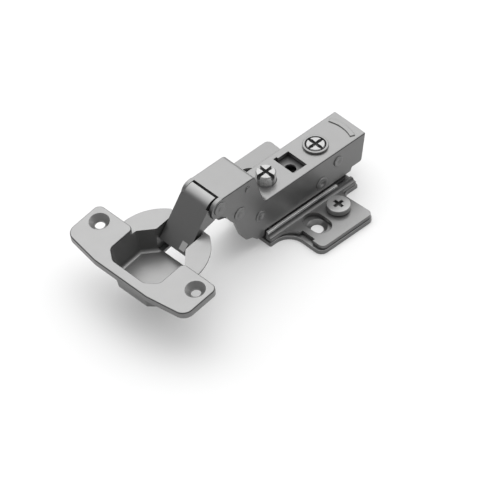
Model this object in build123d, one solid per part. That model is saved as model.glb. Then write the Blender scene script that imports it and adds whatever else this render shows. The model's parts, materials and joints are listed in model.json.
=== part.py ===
from build123d import *
import os
from math import cos, hypot, radians, sin

os.makedirs("parts", exist_ok=True)

# Cranked concealed hinge, shown open. Millimetres. X runs along the arm, away from the cup, Y along
# the cabinet front, Z away from the cabinet side. Z = 0 is the underside of the mounting plate and
# X = 0, Y = 0 the middle between its two screw holes.

# Mounting plate
screw_pitch = 32.0
screw_hole_r = 2.3
countersink_r = 3.7
base_t = 1.5
strip_front = -18.0
strip_rear = 25.4
strip_half = 10.9
strip_corner_r = 0.6
wing_front = -8.7
wing_rear = 18.0
wing_half = 26.8
base_corner_r = 3.0
front_sweep_r = 6.2
rear_sweep_r = 2.5
layer_gap = 0.2
slide_t = 1.5
slide_margin = 1.2
slide_corner_r = 2.0
saddle_inner = 8.0
saddle_t = 1.0
saddle_top = 5.4
saddle_low_top = 4.1
saddle_foot_half = 10.6
saddle_bend_r = 1.4
saddle_front = -17.5
web_front = -15.1
saddle_step = 17.0
saddle_end = 24.6
height_travel = 1.8
height_turn = 50.0
cam_x = 10.5
cam_head_r = 4.35
cam_head_t = 2.0
cam_head_gap = 0.4
cam_cross_length = 3.3
cam_cross_w = 0.95
cam_shank_r = 2.5
cam_foot_r = 1.4
rivet_r = 1.6
rivet_head_r = 3.2
rivet_head_t = 1.0
rivet_spots = (-8.0, 4.0)
slide_fit = 0.15

# Clip body in the saddle, and its release lever
clip_front = -14.5
clip_rear = 23.4
clip_half = 7.6
clip_floor_t = 1.4
clip_wall_inner = 4.2
clip_wall_t = 1.4
clip_wall_top = 6.6
lever_x = 23.0
lever_z = 8.4
lever_pin_r = 1.2
lever_ear_r = 2.4
lever_half = 3.9
lever_t = 1.1
lever_end = 31.0
lever_wire_r = 0.3

# Slide plate that the arm tilts on, and the two adjusting screws
plate_t = 1.4
plate_half = 5.8
plate_top = 13.2
plate_bottom = 6.9
plate_front = -14.0
plate_rear = 22.0
plate_hole_x = 3.4
plate_hole_r = 2.3
pivot_x = 18.5
pivot_z = 15.2
pivot_r = 1.5
pivot_head_r = 2.1
stop_x = 10.5
stop_z = 9.8
stop_r = 1.25
stop_head_r = 2.6
stop_play = 0.5
overlay_x = -9.74
overlay_r = 3.7
overlay_top = 24.0
overlay_bottom = 14.6
overlay_neck_r = 1.6
overlay_foot_r = 2.9
overlay_foot_t = 1.3
cross_w = 1.25
cross_depth = 1.9
depth_x = 14.9
depth_head_r = 3.15
depth_head_top = 21.0
depth_head_bottom = 17.7
depth_shank_r = 1.8
depth_foot_r = 1.2
depth_travel = 1.5
depth_turn = 60.0

# Arm
sheet_t = 1.5
arm_half = 7.7
rear_top = 20.0
front_top = 35.3
arm_rear = 32.0
nose_x = -39.8
nose_z = 31.2
nose_r = 4.1
front_edge = -39.5
crank_top_x = -22.6
crank_foot_x = -18.0
arm_floor = 6.2
rear_floor = 7.8
arm_edge_r = 0.5
window_front = -0.65
window_rear = 6.0
window_half = 4.7
bush_r = 4.7
bush_bore_r = 3.85
bush_neck_r = 4.25
bush_t = 0.9
bead_x = 27.6
bead_bow = 1.2
bead_half = 5.8
bead_w = 2.0
bead_t = 0.4
middle_x = -30.2
middle_z = 22.4
spring_x = -19.9
spring_z = 14.3
pin_r = 1.6
nose_head_r = 2.8
middle_head_r = 2.6
spring_pin_r = 1.3
spring_head_r = 2.3
head_t = 0.4
head_edge_r = 0.25
dimple_r = 0.8
boss_x = -26.2
boss_z = 31.5
boss_r = 1.3
pin_fit = 0.05
side_fit = 0.15

# Cup, placed by its middle on the top of the rim and its tilt
cup_x = -62.6
cup_z = 21.45
cup_tilt = 10.0
cup_bore_r = 17.4
rim_r = 18.65
rim_t = 0.7
rim_cut = 16.0
flange_top = 2.1
flange_front = -18.6
flange_tip_front = -16.1
flange_back = 0.4
flange_bend = 13.0
flange_half = 29.75
flange_front_r = 4.3
flange_back_r = 2.6
flange_inner_r = 2.2
flange_edge_r = 0.45
hole_spacing = 48.0
hole_u = -5.2
hole_r = 1.9
hole_sink_r = 3.8
well_front = -14.6
well_half = 12.3
well_front_half = 7.7
well_corner_u = -11.2
well_corner_r = 2.6
well_neck_u = 0.9
well_floor_r = 1.5
slot_front = 6.3
slot_half = 7.3
pot_depth = 10.5
pot_floor_t = 1.2
pot_wall = 1.2
pot_rear_half = 9.6
pot_draft = 5.0
floor_window_front = 5.85
floor_window_rear = 13.0
floor_window_half = 5.3
stud_u = 10.0
stud_h = -6.5
stud_r = 1.5
stud_head_r = 2.2
stud_head_t = 0.35
guide_u = 14.4
guide_h = -4.6
guide_r = 1.4
wall_bite = 1.3

# Links: how far they turn while the cup folds from open to closed
fold_turn = 130.0
outer_turn = 30.0
inner_turn = 43.0
outer_half = 6.75
outer_ear_half = 5.7
outer_t = 1.3
hood_off = 5.4
hood_r = 5.3
hood_rise = 2.3
hood_gap = 0.8
shoulder = 1.9
ear_clear_r = 4.45
foot_off = 3.5
foot_over = 1.7
pad_long = 3.3
pad_wide = 2.6
pad_y = -3.9
pad_t = 0.3
stud_lobe_r = 2.6
ear_lobe_r = 2.5
inner_half = 4.2
inner_t = 1.5
inner_w = 3.2
inner_eye_r = 3.0
eye_wall = 0.75
tail_length = 6.2
tail_turn = -62.0
arch_rise = 4.8
spacer_r = 2.8
spring_wire_r = 0.7
spring_turns = 2.5
spring_in = 1.6

# Values worked out from the sizes above
slide_z = base_t + layer_gap
slide_top = slide_z + slide_t
arm_in = arm_half - sheet_t
eccentric = height_travel / sin(radians(height_turn))
depth_eccentric = depth_travel / sin(radians(depth_turn))
cup_plane = Plane(
    origin=(cup_x, 0, cup_z),
    x_dir=(cos(radians(cup_tilt)), 0, sin(radians(cup_tilt))),
    z_dir=(-sin(radians(cup_tilt)), 0, cos(radians(cup_tilt))),
)


def write(name, shape):
    shape.label = name
    export_step(shape, "parts/" + name + ".step")


def side(points, radii, half, plane=Plane.XZ):
    """A plate of the given side outline, as wide as twice half, across the middle of the hinge."""
    outline = FilletPolyline(*points, radius=radii, close=True)
    return extrude(plane * make_face(outline), amount=half, both=True)


def bar(x, z, r, half):
    """A round bar across the hinge."""
    return Pos(x, 0, z) * Rot(90, 0, 0) * Cylinder(r, 2 * half)


def rings(x, z, r_out, r_in, near, far):
    """A ring on each side of the hinge, between two distances from its middle."""
    ring = Cylinder(r_out, far - near) - Cylinder(r_in, far - near)
    middle = (near + far) / 2
    return [Pos(x, s * middle, z) * Rot(90, 0, 0) * ring for s in (-1, 1)]


def block(x0, x1, y0, y1, z0, z1):
    """A box between two corners."""
    return Pos((x0 + x1) / 2, (y0 + y1) / 2, (z0 + z1) / 2) * Box(x1 - x0, y1 - y0, z1 - z0)


def riveted_pin(x, z, r, head_r):
    """A pin through both walls of the arm, with low rounded heads that are dimpled in the middle."""
    heads = bar(x, z, head_r, arm_half + head_t)
    heads = fillet(heads.edges().filter_by(GeomType.CIRCLE), head_edge_r)
    heads -= bar(x, z, head_r + 1, arm_half)
    dimples = bar(x, z, dimple_r, arm_half + head_t) - bar(x, z, dimple_r, arm_half + head_t / 2)
    return heads + bar(x, z, r, arm_half) - dimples


def cross(r, width, depth, top):
    """A crossed driver slot that is open to the rim of a screw of radius r."""
    arm = Box(2 * r + 2, width, depth) + Box(width, 2 * r + 2, depth)
    return Pos(0, 0, top - depth / 2) * arm


def recess_cross(length, width, depth, top):
    """A small crossed driver recess that stays inside the screw's head."""
    arm = Box(length, width, depth) + Box(width, length, depth)
    return Pos(0, 0, top - depth / 2) * arm


def in_cup(u, h):
    """The place on the hinge's middle plane of a point of the cup, u towards the arm and h up."""
    t = radians(cup_tilt)
    return cup_x + u * cos(t) - h * sin(t), cup_z + u * sin(t) + h * cos(t)


def turned(x, z, about_x, about_z, angle):
    """A point of the middle plane turned anticlockwise, seen with X to the right and Z up."""
    a = radians(angle)
    dx = x - about_x
    dz = z - about_z
    return about_x + dx * cos(a) - dz * sin(a), about_z + dx * sin(a) + dz * cos(a)


stud_x, stud_z = in_cup(stud_u, stud_h)
guide_x, guide_z = in_cup(guide_u, guide_h)


def cross_plan(front, wing_from, wing_to, rear, strip, wing, radii):
    """A plate's plan: a strip along the arm with a wing on each side, and one radius per corner."""
    half = [(front, strip), (wing_from, strip), (wing_from, wing), (wing_to, wing), (wing_to, strip), (rear, strip)]
    other = [(x, -y) for x, y in reversed(half)]
    return make_face(FilletPolyline(*half, *other, radius=radii + radii[::-1], close=True))


def make_mounting_base():
    r = base_corner_r
    radii = [strip_corner_r, front_sweep_r, r, r, rear_sweep_r, strip_corner_r]
    plan = cross_plan(strip_front, wing_front, wing_rear, strip_rear, strip_half, wing_half, radii)
    plate = extrude(plan, amount=base_t)
    top_edges = plate.faces().sort_by(Axis.Z)[-1].edges()
    plate = fillet(top_edges, 0.35)
    for s in (-1, 1):
        spot = Pos(0, s * screw_pitch / 2, 0)
        plate -= spot * Cylinder(screw_hole_r, 4 * base_t)
        sink = Cone(screw_hole_r, countersink_r, base_t - 0.3)
        plate -= spot * Pos(0, 0, (base_t + 0.3) / 2) * sink
    reach = eccentric * (1 - cos(radians(height_turn)))
    slot = SlotCenterToCenter(reach + 2 * slide_fit, 2 * (cam_foot_r + slide_fit))
    spot = Pos(cam_x + eccentric - reach / 2, -screw_pitch / 2, -base_t)
    plate -= spot * extrude(slot, amount=4 * base_t)
    for x in rivet_spots:
        plate -= Pos(x, 0, 0) * Cylinder(rivet_r, 4 * base_t)
    return plate


def make_guide_rivets():
    top = slide_top + 0.1
    rivets = []
    for x in rivet_spots:
        shank = Pos(x, 0, top / 2) * Cylinder(rivet_r, top)
        head = Pos(x, 0, top + rivet_head_t / 2) * Cylinder(rivet_head_r, rivet_head_t)
        rivets.append(shank + head)
    return Compound(children=rivets)


def make_height_slide():
    saddle_out = saddle_inner + saddle_t
    wing_from = wing_front + slide_margin
    wing_to = wing_rear - slide_margin
    r = slide_corner_r
    radii = [0, front_sweep_r, r, r, rear_sweep_r, 0]
    plan = cross_plan(
        saddle_front, wing_from, wing_to, saddle_end, saddle_foot_half, wing_half - height_travel, radii
    )
    slide = Pos(0, 0, slide_z) * extrude(plan, amount=slide_t)
    slide -= block(saddle_front - 1, web_front, -saddle_inner, saddle_inner, 0, saddle_top)
    for s in (-1, 1):
        y0, y1 = sorted((s * saddle_inner, s * saddle_out))
        slide += block(saddle_front, saddle_step, y0, y1, slide_z, saddle_top)
        slide += block(saddle_step, saddle_end, y0, y1, slide_z, saddle_low_top)
    feet = [
        e
        for e in slide.edges().filter_by(Axis.X)
        if abs(abs(e.center().Y) - saddle_out) < 0.01 and abs(e.center().Z - slide_top) < 0.01
    ]
    slide = fillet(feet, saddle_bend_r)
    for s in (-1, 1):
        recess = SlotCenterToCenter(2 * height_travel, 2 * (countersink_r + 0.2), rotation=90)
        slide -= Pos(0, s * screw_pitch / 2, 0) * extrude(recess, amount=4 * slide_top)
    slide -= Pos(cam_x, -screw_pitch / 2, slide_z) * Cylinder(cam_shank_r + pin_fit, 4 * slide_t)
    slide -= block(wing_front, wing_front + slide_margin + 1.1, -21.2, -15.2, slide_z, saddle_top)
    for x in rivet_spots:
        slot = SlotCenterToCenter(2 * height_travel, 2 * (rivet_r + slide_fit), rotation=90)
        slide -= Pos(x, 0, 0) * extrude(slot, amount=4 * slide_top)
    return slide


def make_height_cam():
    head_z = slide_top + cam_head_gap
    head = Pos(0, 0, head_z + cam_head_t / 2) * Cylinder(cam_head_r, cam_head_t)
    head = fillet(head.edges().group_by(Axis.Z)[-1], 0.4)
    shank = Pos(0, 0, (slide_z + head_z) / 2) * Cylinder(cam_shank_r, head_z - slide_z)
    foot = Pos(eccentric, 0, (0.2 + slide_z) / 2) * Cylinder(cam_foot_r, slide_z - 0.2)
    cam = head + shank + foot - recess_cross(cam_cross_length, cam_cross_w, 1.3, head_z + cam_head_t)
    return Pos(cam_x, -screw_pitch / 2, 0) * cam


def make_clip_body():
    floor_top = slide_top + clip_floor_t
    body = block(clip_front, clip_rear, -clip_half, clip_half, slide_top, floor_top)
    body = fillet(body.edges().filter_by(Axis.Z), 1.5)
    for x in rivet_spots:
        relief = SlotCenterToCenter(2 * height_travel, 2 * (rivet_head_r + side_fit), rotation=90)
        body -= Pos(x, 0, 0) * extrude(relief, amount=floor_top)
    for s in (-1, 1):
        y0, y1 = sorted((s * clip_wall_inner, s * (clip_wall_inner + clip_wall_t)))
        body += block(clip_front + 1.5, clip_rear, y0, y1, floor_top - 0.1, clip_wall_top)
        ear = Pos(lever_x, (y0 + y1) / 2, lever_z) * Rot(90, 0, 0) * Cylinder(lever_ear_r, clip_wall_t)
        neck = block(lever_x - lever_ear_r, lever_x + lever_ear_r, y0, y1, slide_top + 1, lever_z)
        body += ear + neck
    reach = depth_eccentric * (1 - cos(radians(depth_turn)))
    slot = SlotCenterToCenter(reach + 2 * slide_fit, 2 * (depth_foot_r + slide_fit), rotation=90)
    body -= Pos(depth_x, depth_eccentric - reach / 2, 0) * extrude(slot, amount=4 * floor_top)
    return body - bar(lever_x, lever_z, lever_pin_r, clip_half)


def make_lever_pin():
    return bar(lever_x, lever_z, lever_pin_r, clip_wall_inner + clip_wall_t)


def make_release_lever():
    hub_in = lever_pin_r + 2 * lever_wire_r + 0.4
    hub_out = hub_in + lever_t
    inner_half = lever_half - lever_t
    top = lever_z + hub_out
    handle = [
        (lever_x, top),
        (lever_end, top),
        (lever_end, top - lever_t),
        (lever_x + hub_out, top - 2 * lever_t),
        (lever_x + 1.0, lever_z - hub_out + 0.4),
        (lever_x, lever_z),
    ]
    lever = side(handle, [0, 0.4, 0.4, 1.5, 0.4, 0], lever_half) + bar(lever_x, lever_z, hub_out, lever_half)
    under = [
        (lever_x, top - lever_t),
        (lever_end + 1, top - lever_t),
        (lever_end + 1, lever_z - hub_out - 1),
        (lever_x - 1.0, lever_z - hub_out - 1),
    ]
    lever -= side(under, 0, inner_half) + bar(lever_x, lever_z, hub_in, inner_half)
    return lever - bar(lever_x, lever_z, lever_pin_r + pin_fit, lever_half + 1)


def make_release_spring():
    coil_r = lever_pin_r + 0.2 + lever_wire_r
    length = 2 * (lever_half - lever_t) - 1.2
    path = Helix(pitch=length / 4, height=length, radius=coil_r)
    section = Plane(origin=path @ 0, z_dir=path % 0) * Circle(lever_wire_r)
    coil = sweep(section, path=path, is_frenet=True)
    return Pos(lever_x, length / 2, lever_z) * Rot(90, 0, 0) * coil


def make_slide_plate():
    ear_top = pivot_z + 2.4
    points = [
        (plate_front, plate_top),
        (pivot_x - 4.6, plate_top),
        (pivot_x - 2.2, ear_top),
        (pivot_x + 2.2, ear_top),
        (plate_rear, plate_top),
        (plate_rear, plate_top - 1.6),
        (stop_x + 6.0, plate_top - 1.6),
        (stop_x + 4.2, plate_bottom),
        (plate_front, plate_bottom),
    ]
    plate = side(points, [1.2, 1.0, 2.0, 2.0, 0.6, 0.6, 1.0, 1.0, 1.5], plate_half)
    hollow = block(plate_front - 1, plate_rear + 1, -plate_half + plate_t, plate_half - plate_t, 0, 40)
    keep = block(plate_front, pivot_x - 5.4, -plate_half, plate_half, plate_top - plate_t, plate_top)
    plate = plate - hollow + (keep & plate)
    shelf = block(pivot_x - 6, depth_x + 2.7, -plate_half, plate_half, plate_top - 2.6, plate_top - 2.6 + plate_t)
    plate += shelf
    plate -= Pos(overlay_x, 0, plate_top) * Cylinder(overlay_neck_r + slide_fit, 8)
    plate -= Pos(plate_hole_x, 0, plate_top) * Cylinder(plate_hole_r, 8)
    plate -= Pos(depth_x, 0, plate_top) * Cylinder(depth_shank_r + pin_fit, 12)
    plate -= bar(pivot_x, pivot_z, pivot_r + pin_fit, plate_half + 1)
    plate -= bar(stop_x, stop_z, stop_r + stop_play, plate_half + 1)
    return plate


def make_overlay_screw():
    head = Pos(0, 0, (overlay_top + overlay_bottom) / 2) * Cylinder(overlay_r, overlay_top - overlay_bottom)
    head = chamfer(head.edges().group_by(Axis.Z)[-1], 0.4)
    neck_bottom = plate_top - plate_t - slide_fit
    neck = Pos(0, 0, (overlay_bottom + neck_bottom) / 2) * Cylinder(overlay_neck_r, overlay_bottom - neck_bottom)
    foot = Pos(0, 0, neck_bottom - overlay_foot_t / 2) * Cylinder(overlay_foot_r, overlay_foot_t)
    screw = head + neck + foot - cross(overlay_r, cross_w, cross_depth, overlay_top)
    return Pos(overlay_x, 0, 0) * screw


def make_depth_cam():
    head = Pos(0, 0, (depth_head_top + depth_head_bottom) / 2) * Cylinder(
        depth_head_r, depth_head_top - depth_head_bottom
    )
    head = chamfer(head.edges().group_by(Axis.Z)[-1], 0.3)
    shank_bottom = plate_top - 4.2
    shank = Pos(0, 0, (depth_head_bottom + shank_bottom) / 2) * Cylinder(
        depth_shank_r, depth_head_bottom - shank_bottom
    )
    web = Pos(0, depth_eccentric / 2, shank_bottom - 0.5) * Box(
        2 * depth_foot_r, depth_eccentric, 1.0
    )
    web += Pos(0, 0, shank_bottom - 0.5) * Cylinder(depth_shank_r, 1.0)
    foot_bottom = slide_top + 0.3
    foot = Pos(0, depth_eccentric, (shank_bottom + foot_bottom) / 2) * Cylinder(
        depth_foot_r, shank_bottom - foot_bottom
    )
    cam = head + shank + web + foot - cross(depth_head_r, 1.0, 1.5, depth_head_top)
    return Pos(depth_x, 0, 0) * cam


def arm_top(inset):
    """The corners of the arm's folded top from front to rear, drawn in by an inset."""
    return [
        (front_edge, front_top - inset),
        (crank_top_x - inset, front_top - inset),
        (crank_foot_x - inset, rear_top - inset),
        (arm_rear, rear_top - inset),
    ]


def arm_edge():
    """The corners and radii of the lower edge of the arm's walls, from rear to front."""
    return (
        (30.1, rear_floor, 1.0),
        (25.4, rear_floor, 0.4),
        (24.8, arm_floor, 0.4),
        (-17.9, arm_floor, 0),
        (-17.6, 3.9, 0.8),
        (-19.2, 3.4, 0.9),
        (-21.6, 4.2, 1.2),
        (-23.9, 6.5, 1.2),
        (-27.0, 7.5, 2.0),
        (-29.3, 10.8, 3.0),
        (-31.0, 15.4, 5.0),
        (-32.4, 19.2, 3.0),
        (-34.8, 21.8, 3.0),
        (-36.6, 24.8, 1.5),
        (front_edge, 27.3, 0),
    )


def make_hinge_arm():
    points = arm_top(0) + [(x, z) for x, z, r in arm_edge()]
    radii = [0, 2.2, 2.4, 0] + [r for x, z, r in arm_edge()]
    arm = side(points, radii, arm_half)
    corners = [e for e in arm.edges() if abs(abs(e.center().Y) - arm_half) < 0.01]
    top_edges = [e for e in corners if e.center().Z > front_top - 0.01 or e.center().X > arm_rear]
    top_edges += [e for e in corners if abs(e.center().Z - rear_top) < 0.01]
    arm = fillet(top_edges, arm_edge_r)
    nose = bar(nose_x, nose_z, nose_r, arm_half)
    arm += nose - block(front_edge, 0, -arm_half, arm_half, 0, 60)
    hollow = [(-60, front_top - sheet_t)] + arm_top(sheet_t)[1:3]
    hollow += [(arm_rear + 3, rear_top - sheet_t), (arm_rear + 3, 0), (-60, 0)]
    arm -= side(hollow, [0, 1.0, 3.4, 0, 0, 0], arm_in)
    arm -= block(-60, front_edge, -arm_in, arm_in, 0, 60)
    arm -= block(window_front, window_rear, -window_half, window_half, rear_top - 3, rear_top + 2)
    arm -= block(window_front, window_front + 1.6, window_half - 1, window_half + 0.8, rear_top - 3, rear_top + 2)
    arm -= Pos(overlay_x, 0, rear_top) * Cylinder(overlay_r + 0.25, 6)
    arm -= Pos(depth_x, 0, rear_top) * Cylinder(bush_neck_r, 6)
    for x, z, r in pin_spots():
        arm -= bar(x, z, r, arm_half + 1)
    boss = bar(boss_x, boss_z, boss_r, arm_half + head_t)
    boss = fillet(boss.edges().filter_by(GeomType.CIRCLE), head_edge_r)
    boss -= bar(boss_x, boss_z, boss_r + 1, arm_half - 0.5)
    return arm + boss + make_bead()


def make_bead():
    """The low curved bead across the rear end of the arm's top."""
    inner = ThreePointArc((bead_x, -bead_half), (bead_x + bead_bow, 0), (bead_x, bead_half))
    strip = Pos(0, 0, rear_top - bead_t) * extrude(trace(inner, bead_w), amount=2 * bead_t)
    return fillet(strip.faces().sort_by(Axis.Z)[-1].edges(), bead_t * 0.8)


def pin_spots():
    """Place and radius of each pin that is riveted through the arm's walls."""
    return (
        (nose_x, nose_z, pin_r),
        (middle_x, middle_z, pin_r),
        (spring_x, spring_z, spring_pin_r),
        (pivot_x, pivot_z, pivot_r),
        (stop_x, stop_z, stop_r),
    )


def make_cam_bush():
    flange = Pos(0, 0, rear_top + bush_t / 2) * Cylinder(bush_r, bush_t)
    flange = fillet(flange.edges().group_by(Axis.Z)[-1].sort_by(SortBy.LENGTH)[-1], 0.3)
    neck = Pos(0, 0, rear_top - sheet_t / 2) * Cylinder(bush_neck_r, sheet_t)
    bore = Pos(0, 0, rear_top) * Cylinder(bush_bore_r, 8)
    return Pos(depth_x, 0, 0) * (flange + neck - bore)


def make_closing_spring():
    coil_r = spring_pin_r + 0.35 + spring_wire_r
    length = arm_in - 0.3 - spring_in
    path = Helix(pitch=(length - 2 * spring_wire_r) / spring_turns, height=length - 2 * spring_wire_r, radius=coil_r)
    section = Plane(origin=path @ 0, z_dir=path % 0) * Circle(spring_wire_r)
    coil = sweep(section, path=path, is_frenet=True)
    near = Pos(spring_x, -spring_in - spring_wire_r, spring_z) * Rot(90, 0, 0) * coil
    far = mirror(near, about=Plane.XZ)
    return Compound(children=[near, far])


def link_frame(x, z, to_x, to_z):
    """A plane across the hinge with its origin at a pin and its first axis towards another point."""
    length = hypot(to_x - x, to_z - z)
    direction = ((to_x - x) / length, 0, (to_z - z) / length)
    return Plane(origin=(x, 0, z), x_dir=direction, z_dir=(0, 1, 0))


def make_outer_link():
    length = hypot(stud_x - nose_x, stud_z - nose_z)
    frame = link_frame(nose_x, nose_z, stud_x, stud_z)
    middle = outer_t / 2
    foot = length + foot_over
    fold = FilletPolyline(
        (-1.0 - hood_rise * 0.8, hood_off - middle - hood_rise),
        (-0.9, hood_off - middle),
        (foot, foot_off - middle),
        radius=hood_r,
    )
    web = extrude(frame * trace(fold, outer_t), amount=outer_half, both=True)
    beside_hood = extrude(frame * Pos(shoulder - 20, 0) * Rectangle(40, 40), amount=outer_half + 1, both=True)
    web -= beside_hood - block(-90, 0, -outer_ear_half, outer_ear_half, 0, 60)
    wall = [
        (shoulder, hood_off - middle),
        (foot - 0.4, foot_off - middle),
        (length + 1.4, 0),
        (length - 3.2, 1.5),
        (9.3, 1.3),
        (6.2, -0.9),
        (4.8, -2.0),
        (3.9, -0.5),
        (shoulder, -0.5),
    ]
    walls = side(wall, [0, 0, 0, 0, 3.0, 1.0, 0.4, 0, 0], outer_half, frame)
    walls += extrude(frame * Pos(length, 0) * Circle(stud_lobe_r), amount=outer_half, both=True)
    walls -= block(-90, 0, outer_t - outer_half, outer_half - outer_t, 0, 60)
    walls -= bar(nose_x, nose_z, ear_clear_r, outer_half + 1) - bar(nose_x, nose_z, ear_clear_r, arm_in - 0.3)
    ear = [
        (-2.2, hood_off - middle - hood_rise),
        (-0.9, hood_off - middle),
        (8.0, hood_off - outer_t),
        (6.0, 0),
        (4.8, -2.0),
        (0, -ear_lobe_r + 0.1),
    ]
    ears = side(ear, [0, hood_r - 1.9, 0, 2.0, 0.8, 0], outer_ear_half, frame)
    ears += extrude(frame * Circle(ear_lobe_r), amount=outer_ear_half, both=True)
    ears -= block(-90, 0, outer_t - outer_ear_half, outer_ear_half - outer_t, 0, 60)
    slope = (hood_off - foot_off) / (foot + 0.9)
    pad_middle = foot - 1.0 - pad_long / 2
    spot = Pos(pad_middle, foot_off + slope * (foot - pad_middle)) * Rot(0, 0, -2 * pad_t)
    pad = extrude(frame.offset(pad_y - pad_wide / 2) * spot * Rectangle(pad_long, 2 * pad_t), amount=pad_wide)
    link = web + walls + ears + pad
    link -= block(front_edge - hood_gap, 0, -outer_half, outer_half, front_top - sheet_t - hood_gap, 60)
    link -= bar(nose_x, nose_z, pin_r + pin_fit, outer_half + 1)
    link -= bar(stud_x, stud_z, stud_r + pin_fit, outer_half + 1)
    return link


def guide_path(steps):
    """Where the guide pin stands, seen from the inner link, while the cup folds shut."""
    places = []
    for i in range(steps + 1):
        part = i / steps
        sx, sz = turned(stud_x, stud_z, nose_x, nose_z, outer_turn * part)
        gx = guide_x - stud_x
        gz = guide_z - stud_z
        gx, gz = turned(gx, gz, 0, 0, (outer_turn - fold_turn) * part)
        places.append(turned(sx + gx, sz + gz, middle_x, middle_z, -inner_turn * part))
    return places


def pin_window(r):
    """The outline that a pin of radius r needs in the inner link over the whole fold."""
    circles = [Pos(x, z) * Circle(r) for x, z in guide_path(8)]
    edges = [e for c in circles for e in c.edges()]
    return Plane.XZ * make_hull(edges)


def make_inner_link():
    reach = guide_x - middle_x
    arch = Spline(
        (middle_x, middle_z),
        (middle_x + 0.18 * reach, middle_z + 0.75 * arch_rise),
        (middle_x + 0.45 * reach, middle_z + arch_rise),
        (guide_x + 0.25 * -reach, guide_z + 1.4 * arch_rise),
        (guide_x, guide_z),
    )
    body = Plane.XZ * trace(arch, inner_w)
    tail_x = middle_x + tail_length * cos(radians(tail_turn))
    tail_z = middle_z + tail_length * sin(radians(tail_turn))
    tail = Plane.XZ * trace(Line((middle_x, middle_z), (tail_x, tail_z)), inner_w)
    tail_end = Plane.XZ * (Pos(tail_x, tail_z) * Circle(inner_w / 2))
    eye = pin_window(guide_r + side_fit + eye_wall)
    boss = Plane.XZ * (Pos(middle_x, middle_z) * Circle(inner_eye_r))
    link = Part()
    for face in (body, tail, tail_end, eye, boss):
        link += extrude(face, amount=inner_half, both=True)
    core = inner_half - inner_t
    link -= extrude(pin_window(guide_r + side_fit + eye_wall + 1), amount=core, both=True)
    link -= extrude(pin_window(guide_r + side_fit), amount=inner_half + 1, both=True)
    link -= bar(middle_x, middle_z, pin_r + pin_fit, inner_half + 1)
    return link


def well_outline():
    """The outline of the cup's well, wide between the wings and narrow towards the arm."""
    half = [
        (well_front, well_front_half),
        (well_corner_u, well_half),
        (well_neck_u, well_half),
        (slot_front, slot_half),
        (rim_cut + 6, slot_half),
    ]
    radii = [well_corner_r, well_corner_r, 1.8, 1.2, 0]
    other = [(x, -y) for x, y in reversed(half)]
    return make_face(FilletPolyline(*half, *other, radius=radii + radii[::-1], close=True))


def make_flange():
    """The raised flange, with a rounded corner where each wing meets the well."""
    half = [(flange_front, flange_bend), (flange_tip_front, flange_half), (flange_back, flange_half)]
    radii = [6, flange_front_r, flange_back_r]
    other = [(x, -y) for x, y in reversed(half)]
    wings = make_face(FilletPolyline(*half, *other, radius=radii + radii[::-1], close=True))
    flange = Pos(0, 0, -rim_t) * extrude(wings, amount=flange_top + rim_t)
    flange -= extrude(well_outline(), amount=flange_top + rim_t, both=True)
    flange -= block(well_corner_u / 2, -well_corner_u, -well_half, well_half, -rim_t, flange_top)
    uprights = flange.edges().filter_by(Axis.Z)
    inner = [e for e in uprights if abs(e.center().X - flange_back) < 0.01 and abs(e.center().Y) < well_half + 1]
    flange = fillet(inner, flange_inner_r)
    return fillet(flange.faces().sort_by(Axis.Z)[-1].edges(), flange_edge_r)


def make_hinge_cup():
    rim = extrude(Circle(rim_r), amount=-rim_t)
    rim -= block(rim_cut, rim_r + 5, -rim_r, rim_r, -5, 5)
    outer = FilletPolyline(*pot_outline(), radius=2.0, close=True)
    bottom = -pot_depth - pot_floor_t
    pot = Pos(0, 0, -rim_t) * extrude(make_face(outer), amount=bottom + rim_t, taper=pot_draft)
    pot &= Pos(0, 0, bottom / 2) * Cylinder(cup_bore_r, -bottom + 2)
    pot &= block(-30, rim_cut, -30, 30, bottom, 1)
    well = extrude(well_outline(), amount=-pot_depth, taper=pot_draft)
    well = fillet(well.faces().sort_by(Axis.Z)[0].edges(), well_floor_r)
    rear = Pos(rim_cut + 1, 0) * Rectangle(2 * (rim_cut + 1 - slot_front) + 2, 2 * slot_half)
    cup = rim + pot - well - extrude(rear, amount=-pot_depth) + make_flange()
    for s in (-1, 1):
        spot = Pos(hole_u, s * hole_spacing / 2, 0)
        cup -= spot * Cylinder(hole_r, 20)
        sink = Cone(hole_r, hole_sink_r, hole_sink_r - hole_r)
        cup -= spot * Pos(0, 0, flange_top - (hole_sink_r - hole_r) / 2 + 0.01) * sink
    cup -= block(
        floor_window_front, floor_window_rear, -floor_window_half, floor_window_half, bottom - 1, -pot_depth + 1
    )
    cup -= Pos(stud_u, 0, stud_h) * Rot(90, 0, 0) * Cylinder(stud_r, 2 * (slot_half + wall_bite))
    cup -= Pos(guide_u, 0, guide_h) * Rot(90, 0, 0) * Cylinder(guide_r, 2 * (slot_half + wall_bite))
    return cup_plane.location * cup


def pot_outline():
    """The outline of the pot's outside, with thick walls where its pins are held."""
    w = pot_wall
    half = [
        (well_front - w, 7.4),
        (-12.5, 11.7),
        (-10.6, well_half + w),
        (1.8, well_half + w),
        (6.0, pot_rear_half + 0.6),
        (rim_cut + 4, pot_rear_half),
    ]
    other = [(x, -y) for x, y in reversed(half)]
    return half + other


def make_link_studs():
    far = slot_half + wall_bite
    near = outer_half - 1.3
    stud = Cylinder(stud_r, far - near)
    head = Cylinder(stud_head_r, stud_head_t)
    studs = []
    for s in (-1, 1):
        shank = Pos(stud_u, s * (near + far) / 2, stud_h) * Rot(90, 0, 0) * stud
        cap = Pos(stud_u, s * (near - 0.05 - stud_head_t / 2), stud_h) * Rot(90, 0, 0) * head
        tip = Pos(stud_u, s * (near - 0.05), stud_h) * Rot(90, 0, 0) * Cylinder(stud_r, 0.2)
        studs.append(cup_plane.location * (shank + cap + tip))
    return Compound(children=studs)


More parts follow.
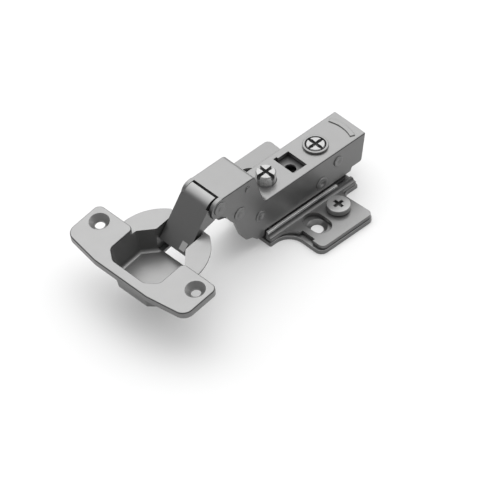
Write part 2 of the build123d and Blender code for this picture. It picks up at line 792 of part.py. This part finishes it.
def make_guide_pin():
    pin = Pos(guide_u, 0, guide_h) * Rot(90, 0, 0) * Cylinder(guide_r, 2 * (slot_half + wall_bite))
    return cup_plane.location * pin


write("mounting_base", make_mounting_base())
write("guide_rivets", make_guide_rivets())
write("height_slide", make_height_slide())
write("height_cam", make_height_cam())
write("clip_body", make_clip_body())
write("lever_pin", make_lever_pin())
write("release_lever", make_release_lever())
write("release_spring", make_release_spring())
write("slide_plate", make_slide_plate())
write("overlay_screw", make_overlay_screw())
write("depth_cam", make_depth_cam())
write("hinge_arm", make_hinge_arm())
write("cam_bush", make_cam_bush())
write("nose_pin", riveted_pin(nose_x, nose_z, pin_r, nose_head_r))
write("middle_pin", riveted_pin(middle_x, middle_z, pin_r, middle_head_r))
write("spring_pin", riveted_pin(spring_x, spring_z, spring_pin_r, spring_head_r))
write("pivot_pin", riveted_pin(pivot_x, pivot_z, pivot_r, pivot_head_r))
write("stop_pin", riveted_pin(stop_x, stop_z, stop_r, stop_head_r))
write("link_spacers", Compound(children=rings(middle_x, middle_z, spacer_r, pin_r, inner_half + side_fit, arm_in)))
write("closing_spring", make_closing_spring())
write("outer_link", make_outer_link())
write("inner_link", make_inner_link())
write("hinge_cup", make_hinge_cup())
write("link_studs", make_link_studs())
write("guide_pin", make_guide_pin())
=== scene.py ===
import json
import math

import bmesh
import bpy
from mathutils import Matrix, Vector


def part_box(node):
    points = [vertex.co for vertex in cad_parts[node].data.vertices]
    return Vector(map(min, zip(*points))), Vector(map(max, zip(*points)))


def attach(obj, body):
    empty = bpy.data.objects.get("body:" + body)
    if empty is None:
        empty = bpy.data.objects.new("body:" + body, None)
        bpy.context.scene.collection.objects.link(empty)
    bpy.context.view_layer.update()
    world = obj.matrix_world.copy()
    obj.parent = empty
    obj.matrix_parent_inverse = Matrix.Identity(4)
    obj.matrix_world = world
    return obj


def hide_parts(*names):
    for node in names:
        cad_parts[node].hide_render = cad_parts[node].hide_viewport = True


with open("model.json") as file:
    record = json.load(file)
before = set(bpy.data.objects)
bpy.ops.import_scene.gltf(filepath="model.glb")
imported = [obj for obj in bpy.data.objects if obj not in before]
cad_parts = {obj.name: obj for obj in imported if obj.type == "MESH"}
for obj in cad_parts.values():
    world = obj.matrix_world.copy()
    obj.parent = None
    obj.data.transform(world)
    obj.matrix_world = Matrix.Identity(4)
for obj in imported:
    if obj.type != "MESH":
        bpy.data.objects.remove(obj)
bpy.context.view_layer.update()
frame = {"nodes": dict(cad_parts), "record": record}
nodes = frame["nodes"]
mm = 0.001

# how the drawn marks are stretched on a piece
evenly = (1.0, 1.0, 1.0)
alongArm = (0.12, 1.0, 1.0)
acrossPlate = (1.0, 0.12, 1.0)
acrossLink = (1.0, 0.15, 1.0)
# tone is the grey of the plating, metal and rough its shine, cloud how far the gloss wanders,
# and grain how deep the drawn marks are
finishes = {
    "cup_metal": dict(tone=0.185, metal=0.7, rough=0.36, cloud=0.05, grain=0.05, along=evenly),
    "arm_metal": dict(tone=0.16, metal=0.75, rough=0.33, cloud=0.05, grain=0.09, along=alongArm),
    "link_metal": dict(tone=0.17, metal=0.95, rough=0.3, cloud=0.04, grain=0.07, along=acrossLink),
    "plate_metal": dict(tone=0.155, metal=0.75, rough=0.34, cloud=0.05, grain=0.09, along=acrossPlate),
    "pin_metal": dict(tone=0.17, metal=0.8, rough=0.32, cloud=0.04, grain=0.05, along=evenly),
    "screw_metal": dict(tone=0.25, metal=0.5, rough=0.28, cloud=0.02, grain=0.012, along=evenly),
    "spring_wire": dict(tone=0.16, metal=0.9, rough=0.3, cloud=0.04, grain=0.04, along=evenly),
}
# the dull plate inside the arm
innerFinish = dict(tone=0.13, metal=0.35, rough=0.5, cloud=0.05, grain=0.05, along=evenly)
platingLook = {
    "cloudScale": 240.0,
    "cloudDetail": 3.0,
    "grainScale": 5200.0,
    "grainDetail": 2.0,
    "grainDepth": 0.02,  # millimetres
    "blueShare": 0.995,
}
# how much lighter or darker than its piece's plating a place is painted: painted shade on edges,
# slots, folds and the plate's bend, painted highlight on the rail's top and the screw's side, painted
# light on the rail's shadowed wall, and a lighter pad
toneShare = {
    "edge": 0.35,
    "pad": 2.9,
    "plateBend": 0.5,
    "railWall": 4.0,
    "railTop": 3.48,
    "screwSide": 2.2,
}
railTopGrain = 0.01


def platedMetal(name, tone, metal, rough, cloud, grain, along):
    material = bpy.data.materials.new(name)
    material.use_nodes = True
    tree = material.node_tree
    shader = tree.nodes["Principled BSDF"]
    shader.inputs["Metallic"].default_value = metal
    shader.inputs["Base Color"].default_value = (tone, tone, tone * platingLook["blueShare"], 1.0)
    coords = tree.nodes.new("ShaderNodeTexCoord")
    clouds = tree.nodes.new("ShaderNodeTexNoise")
    clouds.inputs["Scale"].default_value = platingLook["cloudScale"]
    clouds.inputs["Detail"].default_value = platingLook["cloudDetail"]
    tree.links.new(coords.outputs["Object"], clouds.inputs["Vector"])
    gloss = tree.nodes.new("ShaderNodeMapRange")
    gloss.inputs["To Min"].default_value = rough - cloud
    gloss.inputs["To Max"].default_value = rough + cloud
    tree.links.new(clouds.outputs["Fac"], gloss.inputs["Value"])
    tree.links.new(gloss.outputs["Result"], shader.inputs["Roughness"])
    stretch = tree.nodes.new("ShaderNodeMapping")
    stretch.inputs["Scale"].default_value = along
    tree.links.new(coords.outputs["Object"], stretch.inputs["Vector"])
    marks = tree.nodes.new("ShaderNodeTexNoise")
    marks.inputs["Scale"].default_value = platingLook["grainScale"]
    marks.inputs["Detail"].default_value = platingLook["grainDetail"]
    tree.links.new(stretch.outputs["Vector"], marks.inputs["Vector"])
    bump = tree.nodes.new("ShaderNodeBump")
    bump.inputs["Strength"].default_value = grain
    bump.inputs["Distance"].default_value = platingLook["grainDepth"] * mm
    tree.links.new(marks.outputs["Fac"], bump.inputs["Height"])
    tree.links.new(bump.outputs["Normal"], shader.inputs["Normal"])
    return material


# the plating of one slot again, lighter or darker: these copies carry painted shade and painted
# highlight, and the pad's lighter tone
def retoned(name, slotName, share, **changes):
    tone = finishes[slotName]["tone"] * toneShare[share]
    return platedMetal(name, **dict(finishes[slotName], tone=tone, **changes))


plating = {name: platedMetal(name, **values) for name, values in finishes.items()}
paintedShadePlating = {name: retoned(name + "_edge", name, "edge") for name in finishes}
innerPlating = platedMetal("inner_metal", **innerFinish)
padPlating = retoned("pad_metal", "link_metal", "pad")
bendPlating = retoned("bend_metal", "plate_metal", "plateBend")
wallPlating = retoned("wall_metal", "plate_metal", "railWall")
railPlating = retoned("rail_metal", "plate_metal", "railTop", grain=railTopGrain)
screwSidePlating = retoned("screw_side", "screw_metal", "screwSide")
print("finishes made")

bodyOf = {}
for bodyName, names in frame["record"]["behaviour"]["bodies"].items():
    for nodeName in names:
        bodyOf[nodeName] = bodyName
slotOf = {part["node"]: part["material_slot"] for part in frame["record"]["subparts"]}


def dress(piece, nodeName):
    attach(piece, bodyOf[nodeName])
    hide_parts(nodeName)


def meshFrom(work, name):
    mesh = bpy.data.meshes.new(name)
    work.to_mesh(mesh)
    work.free()
    return mesh


def placed(name, mesh):
    piece = bpy.data.objects.new(name, mesh)
    bpy.context.collection.objects.link(piece)
    return piece


# turns what the modifiers make into the piece's plain mesh
def applied(piece):
    bpy.context.view_layer.update()
    evaluated = piece.evaluated_get(bpy.context.evaluated_depsgraph_get())
    final = bpy.data.meshes.new_from_object(evaluated)
    final.name = piece.name
    old = piece.data
    piece.modifiers.clear()
    piece.data = final
    bpy.data.meshes.remove(old)


def cutAway(piece, cutter):
    cut = piece.modifiers.new("cut", "BOOLEAN")
    cut.operation = "DIFFERENCE"
    cut.solver = "EXACT"
    cut.object = cutter
    applied(piece)
    bpy.data.objects.remove(cutter)


softEdge = {
    "width": 0.16,
    "narrow": 0.08,
    "segments": 2,
    "angle": 32.0,  # degrees past which an edge is broken
    "flat": 0.6,  # degrees below which two faces are one
    "weld": 0.002,
}


def breakEdges(piece, width, edgeMaterial=-1):
    bevel = piece.modifiers.new("edges", "BEVEL")
    bevel.width = width * mm
    bevel.segments = softEdge["segments"]
    bevel.limit_method = "ANGLE"
    bevel.angle_limit = math.radians(softEdge["angle"])
    # the bevel's faces take the darker plating: painted shade along every broken edge
    bevel.material = edgeMaterial
    bevel.use_clamp_overlap = True
    piece.data.shade_smooth()
    even = piece.modifiers.new("even", "WEIGHTED_NORMAL")
    even.keep_sharp = False
    applied(piece)


def smoothByAngle(mesh, degrees):
    mesh.shade_smooth()
    work = bmesh.new()
    work.from_mesh(mesh)
    limit = math.radians(degrees)
    for edge in work.edges:
        edge.smooth = len(edge.link_faces) == 2 and edge.calc_face_angle(0.0) < limit
    work.to_mesh(mesh)
    work.free()


def faceOutwards(mesh):
    work = bmesh.new()
    work.from_mesh(mesh)
    bmesh.ops.recalc_face_normals(work, faces=work.faces)
    if work.calc_volume(signed=True) < 0:
        bmesh.ops.reverse_faces(work, faces=work.faces)
    work.to_mesh(mesh)
    work.free()


# a closed block between two outlines that have as many points
def blockBetween(near, far, name):
    work = bmesh.new()
    start = [work.verts.new(point) for point in near]
    end = [work.verts.new(point) for point in far]
    work.faces.new(start)
    work.faces.new(end)
    for k in range(len(start)):
        after = (k + 1) % len(start)
        work.faces.new((start[k], start[after], end[after], end[k]))
    bmesh.ops.recalc_face_normals(work, faces=work.faces)
    return placed(name, meshFrom(work, name))


# gives the faces that pass the test another plating
def repaint(piece, material, test):
    piece.data.materials.append(material)
    place = len(piece.data.materials) - 1
    for face in piece.data.polygons:
        if test(face.center / mm, face.normal):
            face.material_index = place


def anywhere(point, normal):
    return True


# the crossed slots of the three screws, in millimetres from the screw's axis and top; the box of
# the height screw isn't centred on its head, so its axis is given
slots = {
    "overlay_screw": {"reach": 4.2, "inner": 1.1, "outer": 1.75, "deep": 1.6},
    "depth_cam": {"reach": 2.55, "inner": 1.2, "outer": 1.45, "deep": 1.3},
    "height_cam": {"reach": 2.15, "inner": 1.35, "outer": 1.2, "deep": 1.1, "axis": (10.5, -16.0)},
}
slotRoof = 1.0  # how far the cutter stands over the screw


def screwTop(nodeName):
    low, high = [Vector(corner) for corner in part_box(nodeName)]
    if "axis" in slots[nodeName]:
        return Vector((*slots[nodeName]["axis"], 0.0)) * mm + Vector((0, 0, high.z))
    return Vector(((low.x + high.x) / 2, (low.y + high.y) / 2, high.z))


def slotCutter(nodeName):
    sizes = slots[nodeName]
    top = screwTop(nodeName)
    outline = []
    for quarter in range(4):
        turn = Matrix.Rotation(quarter * math.pi / 2, 3, "Z")
        for x, y in (
            (sizes["inner"] / 2, -sizes["inner"] / 2),
            (sizes["reach"], -sizes["outer"] / 2),
            (sizes["reach"], sizes["outer"] / 2),
        ):
            outline.append(turn @ Vector((x, y, 0)) * mm)
    floor = [top + point - Vector((0, 0, sizes["deep"] * mm)) for point in outline]
    roof = [top + point + Vector((0, 0, slotRoof * mm)) for point in outline]
    return blockBetween(floor, roof, "slot")


# a copy of a CAD piece with clean faces and softly broken edges, painted darker as shade
def softened(nodeName, slotName, width):
    mesh = nodes[nodeName].data.copy()
    work = bmesh.new()
    work.from_mesh(mesh)
    flat = math.radians(softEdge["flat"])
    bmesh.ops.remove_doubles(work, verts=work.verts, dist=softEdge["weld"] * mm)
    bmesh.ops.dissolve_limit(work, angle_limit=flat, verts=work.verts, edges=work.edges)
    work.to_mesh(mesh)
    work.free()
    mesh.materials.clear()
    mesh.materials.append(plating[slotName])
    mesh.materials.append(paintedShadePlating[slotName])
    piece = placed(nodeName + "_look", mesh)
    if nodeName in slots:
        cutAway(piece, slotCutter(nodeName))
    breakEdges(piece, width, edgeMaterial=1)
    return piece


# sizes in millimetres; each pin's place, length and head come from its own node
rivetHead = {
    "thick": 0.4,
    "round": 0.26,
    "roundSteps": 4,
    "dimple": 0.8,
    "dimpleDeep": 0.2,
    "lip": 0.12,
    "slope": 0.08,
    "slopeShare": 0.7,
    "floorShare": 0.6,
    "steps": 48,
    "weld": 0.001,
    "smooth": 40.0,
}
pinShank = {
    "nose_pin": 1.6,
    "middle_pin": 1.6,
    "spring_pin": 1.3,
    "pivot_pin": 1.5,
    "stop_pin": 1.25,
}


# half the outline of a pin, from its middle out to the crown of its head, as radius and height
def headProfile(shank, head, half):
    thick, rounding = rivetHead["thick"], rivetHead["round"]
    dimple, deep = rivetHead["dimple"], rivetHead["dimpleDeep"]
    line = [(shank, 0.0), (shank, half - thick), (head, half - thick)]
    for step in range(rivetHead["roundSteps"] + 1):
        turn = math.radians(90 * step / rivetHead["roundSteps"])
        out = head - rounding + rounding * math.cos(turn)
        line.append((out, half - rounding + rounding * math.sin(turn)))
    line.append((dimple + rivetHead["lip"], half))
    line.append((dimple - rivetHead["slope"], half - deep * rivetHead["slopeShare"]))
    line.append((dimple * rivetHead["floorShare"], half - deep))
    return line + [(0.0, half - deep)]


def turnedHalf(line):
    work = bmesh.new()
    points = [work.verts.new((r * mm, 0.0, h * mm)) for r, h in line]
    chain = [work.edges.new(pair) for pair in zip(points, points[1:])]
    bmesh.ops.spin(
        work,
        geom=points + chain,
        axis=(0, 0, 1),
        cent=(0, 0, 0),
        angle=2 * math.pi,
        steps=rivetHead["steps"],
    )
    bmesh.ops.remove_doubles(work, verts=work.verts, dist=rivetHead["weld"] * mm)
    bmesh.ops.recalc_face_normals(work, faces=work.faces)
    return meshFrom(work, "half")


# a tree with a shape in and out, whole numbers, lengths and a material as its named inputs
def startTree(name, wholes, lengths):
    tree = bpy.data.node_groups.new(name, "GeometryNodeTree")
    face = tree.interface
    face.new_socket("Geometry", in_out="INPUT", socket_type="NodeSocketGeometry")
    for whole in wholes:
        face.new_socket(whole, in_out="INPUT", socket_type="NodeSocketInt").default_value = 1
    for length in lengths:
        face.new_socket(length, in_out="INPUT", socket_type="NodeSocketFloat")
    face.new_socket("Material", in_out="INPUT", socket_type="NodeSocketMaterial")
    face.new_socket("Geometry", in_out="OUTPUT", socket_type="NodeSocketGeometry")
    return tree, tree.nodes.new("NodeGroupInput")


# real copies of a shape, each turned half a round further about X
def turnedCopies(tree, shape, count):
    add, link = tree.nodes.new, tree.links.new
    places = add("GeometryNodePoints")
    stand = add("GeometryNodeInstanceOnPoints")
    order = add("GeometryNodeInputIndex")
    angle = add("ShaderNodeMath")
    angle.operation = "MULTIPLY"
    angle.inputs[1].default_value = math.pi
    euler = add("ShaderNodeCombineXYZ")
    real = add("GeometryNodeRealizeInstances")
    link(count, places.inputs["Count"])
    link(places.outputs[0], stand.inputs["Points"])
    link(shape, stand.inputs["Instance"])
    link(order.outputs[0], angle.inputs[0])
    link(angle.outputs[0], euler.inputs["X"])
    link(euler.outputs[0], stand.inputs["Rotation"])
    link(stand.outputs[0], real.inputs[0])
    return real.outputs[0]


def finishTree(tree, shape, material):
    paint = tree.nodes.new("GeometryNodeSetMaterial")
    end = tree.nodes.new("NodeGroupOutput")
    tree.links.new(shape, paint.inputs["Geometry"])
    tree.links.new(material, paint.inputs["Material"])
    tree.links.new(paint.outputs[0], end.inputs[0])


def pinTree():
    tree, start = startTree("pin_heads", ["Turns"], [])
    merge = tree.nodes.new("GeometryNodeMergeByDistance")
    merge.inputs["Distance"].default_value = rivetHead["weld"] * mm
    both = turnedCopies(tree, start.outputs["Geometry"], start.outputs["Turns"])
    tree.links.new(both, merge.inputs["Geometry"])
    finishTree(tree, merge.outputs[0], start.outputs["Material"])
    return tree


wireSteps = {"turn": 36, "round": 12, "smooth": 50.0}


def springTree():
    tree, start = startTree("coil", ["Coils"], ["Turns", "Radius", "Start", "Length", "Wire"])
    add, link = tree.nodes.new, tree.links.new
    spiral = add("GeometryNodeCurveSpiral")
    spiral.inputs["Resolution"].default_value = wireSteps["turn"]
    section = add("GeometryNodeCurvePrimitiveCircle")
    section.inputs["Resolution"].default_value = wireSteps["round"]
    tube = add("GeometryNodeCurveToMesh")
    tube.inputs["Fill Caps"].default_value = True
    out = add("ShaderNodeCombineXYZ")
    shift = add("GeometryNodeTransform")
    link(start.outputs["Turns"], spiral.inputs["Rotations"])
    link(start.outputs["Radius"], spiral.inputs["Start Radius"])
    link(start.outputs["Radius"], spiral.inputs["End Radius"])
    link(start.outputs["Length"], spiral.inputs["Height"])
    link(start.outputs["Wire"], section.inputs["Radius"])
    link(spiral.outputs[0], tube.inputs["Curve"])
    link(section.outputs[0], tube.inputs["Profile Curve"])
    link(start.outputs["Start"], out.inputs["Z"])
    link(tube.outputs[0], shift.inputs["Geometry"])
    link(out.outputs[0], shift.inputs["Translation"])
    both = turnedCopies(tree, shift.outputs[0], start.outputs["Coils"])
    finishTree(tree, both, start.outputs["Material"])
    return tree


# puts the tree on the piece with its inputs, and makes a plain mesh that lies along Y
def grown(piece, tree, inputs, middle, smooth):
    modifier = piece.modifiers.new("tree", "NODES")
    modifier.node_group = tree
    for item in tree.interface.items_tree:
        if item.item_type == "SOCKET" and item.in_out == "INPUT" and item.name in inputs:
            modifier[item.identifier] = inputs[item.name]
    applied(piece)
    piece.data.transform(Matrix.Translation(middle) @ Matrix.Rotation(math.radians(90), 4, "X"))
    faceOutwards(piece.data)
    smoothByAngle(piece.data, smooth)


pinHeads = pinTree()
for nodeName, shank in pinShank.items():
    low, high = [Vector(corner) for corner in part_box(nodeName)]
    head = (high.x - low.x) / 2 / mm
    half = (high.y - low.y) / 2 / mm
    piece = placed(nodeName + "_look", turnedHalf(headProfile(shank, head, half)))
    inputs = {"Turns": 2, "Material": plating["pin_metal"]}
    grown(piece, pinHeads, inputs, (low + high) / 2, rivetHead["smooth"])
    dress(piece, nodeName)
print("pins turned:", len(pinShank))

# gap is from the middle out to where a coil of a pair begins
springs = {
    "closing_spring": {"wire": 0.7, "turns": 2.5, "coils": 2, "gap": 1.6},
    "release_spring": {"wire": 0.3, "turns": 4.0, "coils": 1, "gap": None},
}
coilTree = springTree()
for nodeName, sizes in springs.items():
    low, high = [Vector(corner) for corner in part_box(nodeName)]
    wire = sizes["wire"] * mm
    half = (high.y - low.y) / 2
    begin = -half + wire if sizes["gap"] is None else sizes["gap"] * mm + wire
    piece = placed(nodeName + "_look", bpy.data.meshes.new(nodeName))
    inputs = {
        "Turns": sizes["turns"],
        "Radius": (high.x - low.x) / 2 - wire,
        "Start": begin,
        "Length": half - wire - begin,
        "Wire": wire,
        "Coils": sizes["coils"],
        "Material": plating["spring_wire"],
    }
    grown(piece, coilTree, inputs, (low + high) / 2, wireSteps["smooth"])
    dress(piece, nodeName)
print("springs wound:", len(springs))

narrowEdges = ("guide_rivets", "lever_pin", "link_spacers", "cam_bush")
pieces = {}
for nodeName in sorted(nodes):
    if nodeName in pinShank or nodeName in springs:
        continue
    width = softEdge["narrow"] if nodeName in narrowEdges else softEdge["width"]
    pieces[nodeName] = softened(nodeName, slotOf[nodeName], width)

# the bridge of the plate inside the arm, with the round hole that shows through the arm's window
bridge = {
    "from": -3.0,
    "to": 9.2,
    "half": 5.6,
    "foot": 13.1,
    "top": 17.2,
    "thick": 1.0,
    "hole": (2.4, 0.0),
    "r": 2.2,
    "roundSteps": 40,
    "drill": 6.0,
}


def makeBridge():
    half, foot, top, thick = bridge["half"], bridge["foot"], bridge["top"], bridge["thick"]
    inner, roof = half - thick, top - thick
    section = [(-half, foot), (-half, top), (half, top), (half, foot)]
    section += [(inner, foot), (inner, roof), (-inner, roof), (-inner, foot)]
    front = [Vector((bridge["from"], y, z)) * mm for y, z in section]
    rear = [Vector((bridge["to"], y, z)) * mm for y, z in section]
    piece = blockBetween(front, rear, "bridge")
    piece.data.materials.append(innerPlating)
    work = bmesh.new()
    bmesh.ops.create_cone(
        work,
        cap_ends=True,
        segments=bridge["roundSteps"],
        radius1=bridge["r"] * mm,
        radius2=bridge["r"] * mm,
        depth=bridge["drill"] * mm,
        matrix=Matrix.Translation(Vector((*bridge["hole"], top)) * mm),
    )
    cutAway(piece, placed("drill", meshFrom(work, "drill")))
    breakEdges(piece, softEdge["narrow"])
    return piece


joinedPieces = [pieces["slide_plate"], makeBridge()]
with bpy.context.temp_override(
    active_object=joinedPieces[0],
    object=joinedPieces[0],
    selected_editable_objects=joinedPieces,
    selected_objects=joinedPieces,
):
    bpy.ops.object.join()

# the upper plate's wings reach nearly to the edge of the plate below
wing = {"past": 22.4, "out": 1.3, "rearPast": 12.0, "rearOut": 0.7, "sidePast": 13.3}
for vertex in pieces["height_slide"].data.vertices:
    x, y = vertex.co.x / mm, vertex.co.y / mm
    if abs(y) > wing["past"]:
        vertex.co.y += math.copysign(wing["out"] * mm, y)
    if abs(y) > wing["sidePast"] and x > wing["rearPast"]:
        vertex.co.x += wing["rearOut"] * mm

# the rear screw's head nearly fills its ring
wideHead = {"above": 18.5, "inside": 2.7, "out": 0.3}
headMiddle = screwTop("depth_cam") / mm
for vertex in pieces["depth_cam"].data.vertices:
    x, y = vertex.co.x / mm - headMiddle.x, vertex.co.y / mm - headMiddle.y
    away = math.hypot(x, y)
    if vertex.co.z / mm > wideHead["above"] and away > wideHead["inside"]:
        vertex.co.x += x / away * wideHead["out"] * mm
        vertex.co.y += y / away * wideHead["out"] * mm

# the arm's top ends a little behind the hood of the outer link
armFront = {"from": -39.6, "to": -39.1, "above": 33.6, "back": 0.55}
for vertex in pieces["hinge_arm"].data.vertices:
    x, y, z = vertex.co / mm
    if armFront["from"] < x < armFront["to"] and z > armFront["above"]:
        vertex.co.x += armFront["back"] * mm

# the rounded rim of the flange, in the cup's own directions, catches less light
flangeRim = {
    "middle": (-62.6, 21.45),
    "tilt": 10.0,
    "from": 1.5,
    "to": 2.15,
    "hole": (-5.2, 24.0),
    "clear": 4.3,
    "leanFrom": 0.2,
    "leanTo": 0.95,
}
tilt = math.radians(flangeRim["tilt"])
cupUp = Vector((-math.sin(tilt), 0.0, math.cos(tilt)))
cupAlong = Vector((math.cos(tilt), 0.0, math.sin(tilt)))
cupMiddle = Vector((flangeRim["middle"][0], 0.0, flangeRim["middle"][1]))


def onFlangeRim(point, normal):
    high = (point - cupMiddle).dot(cupUp)
    along = (point - cupMiddle).dot(cupAlong)
    fromHole = math.hypot(along - flangeRim["hole"][0], abs(point.y) - flangeRim["hole"][1])
    rounded = flangeRim["leanFrom"] < normal.dot(cupUp) < flangeRim["leanTo"]
    return flangeRim["from"] < high < flangeRim["to"] and rounded and fromHole > flangeRim["clear"]


# the saddle's rail on the upper plate: a painted highlight on its top, painted shade on the bend at
# its foot, and its outer wall painted lighter to lift the shade on it
rail = {
    "topInner": 7.8,
    "topOuter": 9.35,
    "topAbove": 5.0,
    "sideInner": 8.9,
    "sideOuter": 10.6,
    "bendFrom": 3.2,
    "bendTo": 4.7,
    "bendLean": (0.15, 0.95),
    "wallFrom": 3.0,
    "wallTo": 5.3,
    "wallFacing": 0.7,
}


def besideRail(point):
    return rail["sideInner"] < abs(point.y) < rail["sideOuter"]


def onPlateBend(point, normal):
    between = rail["bendFrom"] < point.z < rail["bendTo"]
    leanFrom, leanTo = rail["bendLean"]
    return besideRail(point) and between and leanFrom < normal.z < leanTo


def onRailWall(point, normal):
    between = rail["wallFrom"] < point.z < rail["wallTo"]
    outside = normal.y * math.copysign(1.0, point.y) > rail["wallFacing"]
    upright = normal.z < rail["bendLean"][0]
    return besideRail(point) and between and outside and upright


def onRailTop(point, normal):
    return rail["topInner"] < abs(point.y) < rail["topOuter"] and point.z > rail["topAbove"]


# the side of the front screw's head gets a painted highlight, lighter plating standing in for what it
# reflects
frontScrew = {"sideAbove": 20.0, "sideLean": 0.6}


def onScrewSide(point, normal):
    return abs(normal.z) < frontScrew["sideLean"] and point.z > frontScrew["sideAbove"]


# the slots of the screws get painted shade inside; reach is a share of the slot's own, and the other
# two are millimetres
slotShade = {"reach": 0.82, "under": 0.5, "top": 0.42}


def inSlot(nodeName):
    top = max(vertex.co.z for vertex in pieces[nodeName].data.vertices) / mm
    middle = screwTop(nodeName) / mm
    inside = slots[nodeName]["reach"] * slotShade["reach"]
    floor = top - slots[nodeName]["deep"] - slotShade["under"]

    def test(point, normal):
        near = math.hypot(point.x - middle.x, point.y - middle.y) < inside
        return near and floor < point.z < top - slotShade["top"]

    return test


# the lower half of the folded edges along the arm's top, painted darker as shade
armFold = {"past": 7.1, "facing": 0.72, "leanFrom": 0.08, "leanTo": 0.7}


def onArmFold(point, normal):
    leaning = armFold["leanFrom"] < normal.z < armFold["leanTo"]
    return abs(point.y) > armFold["past"] and abs(normal.y) > armFold["facing"] and leaning


# the small raised pad at the foot of the outer link is painted lighter; low and high are measured from
# its web
padPlace = {"from": -5.4, "to": -2.4, "low": 0.12, "high": 0.5}
upperFaces = [face for face in pieces["outer_link"].data.polygons if face.normal.z > 0]
web = max(upperFaces, key=lambda face: face.area)
webNormal, webPoint = web.normal.copy(), web.center / mm


def onPad(point, normal):
    rise = (point - webPoint).dot(webNormal)
    beside = padPlace["from"] < point.y < padPlace["to"]
    return beside and padPlace["low"] < rise < padPlace["high"]


# painted shade on rims, bend, slots and folds, painted light on wall, rail top and screw side
repaint(pieces["hinge_cup"], paintedShadePlating["cup_metal"], onFlangeRim)
repaint(pieces["height_slide"], bendPlating, onPlateBend)
repaint(pieces["height_slide"], wallPlating, onRailWall)
repaint(pieces["height_slide"], railPlating, onRailTop)
repaint(pieces["overlay_screw"], screwSidePlating, onScrewSide)
repaint(pieces["slide_plate"], innerPlating, anywhere)
repaint(pieces["cam_bush"], plating["arm_metal"], anywhere)
for nodeName in slots:
    repaint(pieces[nodeName], paintedShadePlating["screw_metal"], inSlot(nodeName))
repaint(pieces["hinge_arm"], paintedShadePlating["arm_metal"], onArmFold)
repaint(pieces["outer_link"], padPlating, onPad)
for nodeName, piece in pieces.items():
    dress(piece, nodeName)
print("pieces dressed:", len(pieces))

studio = {
    "floorSize": 6.0,
    "floorTone": 0.46,
    "floorRough": 0.9,
    "floorGlow": 0.24,
    "skyTop": 3.2,
    "skyFoot": 0.08,
    "skyFull": 0.52,
    "skyLow": 0.5,
    "skyFrom": 0.3,
    "skyTo": 0.92,
    "skyLean": (0.42, 0.42, 0.8),
    "keyPower": 0.8,
    "keySize": 0.6,
    "keyFrom": (0.35, 0.6, 1.1),
    "keyTo": (-0.02, 0.0, 0.01),
    "azimuth": -44.6,
    "elevation": 44.0,
    "lookAt": (-21.2, 1.27, -2.69),
    "pixelsPerMm": 2.838,
    "frameSize": 480,
    "lens": 1200.0,
    "sensor": 36.0,
    "clipEnd": 50.0,
}

floorMaterial = bpy.data.materials.new("floor")
floorMaterial.use_nodes = True
floorShader = floorMaterial.node_tree.nodes["Principled BSDF"]
floorTone = studio["floorTone"]
floorShader.inputs["Base Color"].default_value = (floorTone, floorTone, floorTone, 1.0)
floorShader.inputs["Roughness"].default_value = studio["floorRough"]
floorShader.inputs["Specular IOR Level"].default_value = 0.0
floorShader.inputs["Emission Color"].default_value = (1.0, 1.0, 1.0, 1.0)
floorShader.inputs["Emission Strength"].default_value = studio["floorGlow"]
floorMesh = bpy.data.meshes.new("floor")
half = studio["floorSize"] / 2
corners = [(-half, -half, 0), (half, -half, 0), (half, half, 0), (-half, half, 0)]
floorMesh.from_pydata(corners, [], [(0, 1, 2, 3)])
floorMesh.materials.append(floorMaterial)
floor = placed("floor", floorMesh)

keyData = bpy.data.lights.new("key", "AREA")
keyData.energy = studio["keyPower"]
keyData.size = studio["keySize"]
key = placed("key", keyData)
key.location = studio["keyFrom"]
keyAim = Vector(studio["keyTo"]) - Vector(studio["keyFrom"])
key.rotation_euler = keyAim.to_track_quat("-Z", "Y").to_euler()

# the sky is bright round a leaning axis above and behind the hinge, and dim near the horizon
world = bpy.data.worlds.new("studio")
world.use_nodes = True
sky = world.node_tree
background = sky.nodes["Background"]
background.inputs["Color"].default_value = (1.0, 1.0, 1.0, 1.0)
coords = sky.nodes.new("ShaderNodeTexCoord")
lean = sky.nodes.new("ShaderNodeVectorMath")
lean.operation = "DOT_PRODUCT"
lean.inputs[1].default_value = Vector(studio["skyLean"]).normalized()
ramp = sky.nodes.new("ShaderNodeMapRange")
ramp.interpolation_type = "SMOOTHSTEP"
ramp.inputs["From Min"].default_value = studio["skyFrom"]
ramp.inputs["From Max"].default_value = studio["skyTo"]
ramp.inputs["To Min"].default_value = 0.0
ramp.inputs["To Max"].default_value = studio["skyTop"] - studio["skyLow"]
sky.links.new(coords.outputs["Generated"], lean.inputs[0])
sky.links.new(lean.outputs["Value"], ramp.inputs["Value"])
height = sky.nodes.new("ShaderNodeSeparateXYZ")
rise = sky.nodes.new("ShaderNodeMapRange")
rise.interpolation_type = "SMOOTHSTEP"
rise.inputs["From Min"].default_value = studio["skyFoot"]
rise.inputs["From Max"].default_value = studio["skyFull"]
glow = sky.nodes.new("ShaderNodeMath")
glow.operation = "MULTIPLY_ADD"
glow.inputs[2].default_value = studio["skyLow"]
sky.links.new(coords.outputs["Generated"], height.inputs["Vector"])
sky.links.new(height.outputs["Z"], rise.inputs["Value"])
sky.links.new(ramp.outputs["Result"], glow.inputs[0])
sky.links.new(rise.outputs["Result"], glow.inputs[1])
sky.links.new(glow.outputs["Value"], background.inputs["Strength"])
bpy.context.scene.world = world

azimuth = math.radians(studio["azimuth"])
elevation = math.radians(studio["elevation"])
level = math.cos(elevation)
back = Vector((math.sin(azimuth) * level, -math.cos(azimuth) * level, math.sin(elevation)))
frameWidth = studio["frameSize"] / studio["pixelsPerMm"] * mm
distance = frameWidth * studio["lens"] / studio["sensor"]
cameraData = bpy.data.cameras.new("camera")
cameraData.lens = studio["lens"]
cameraData.sensor_width = studio["sensor"]
cameraData.clip_end = studio["clipEnd"]
camera = placed("camera", cameraData)
camera.location = Vector(studio["lookAt"]) * mm + back * distance
camera.rotation_euler = (-back).to_track_quat("-Z", "Y").to_euler()
bpy.context.scene.camera = camera
bpy.context.scene.view_settings.view_transform = "Standard"
print("studio set")
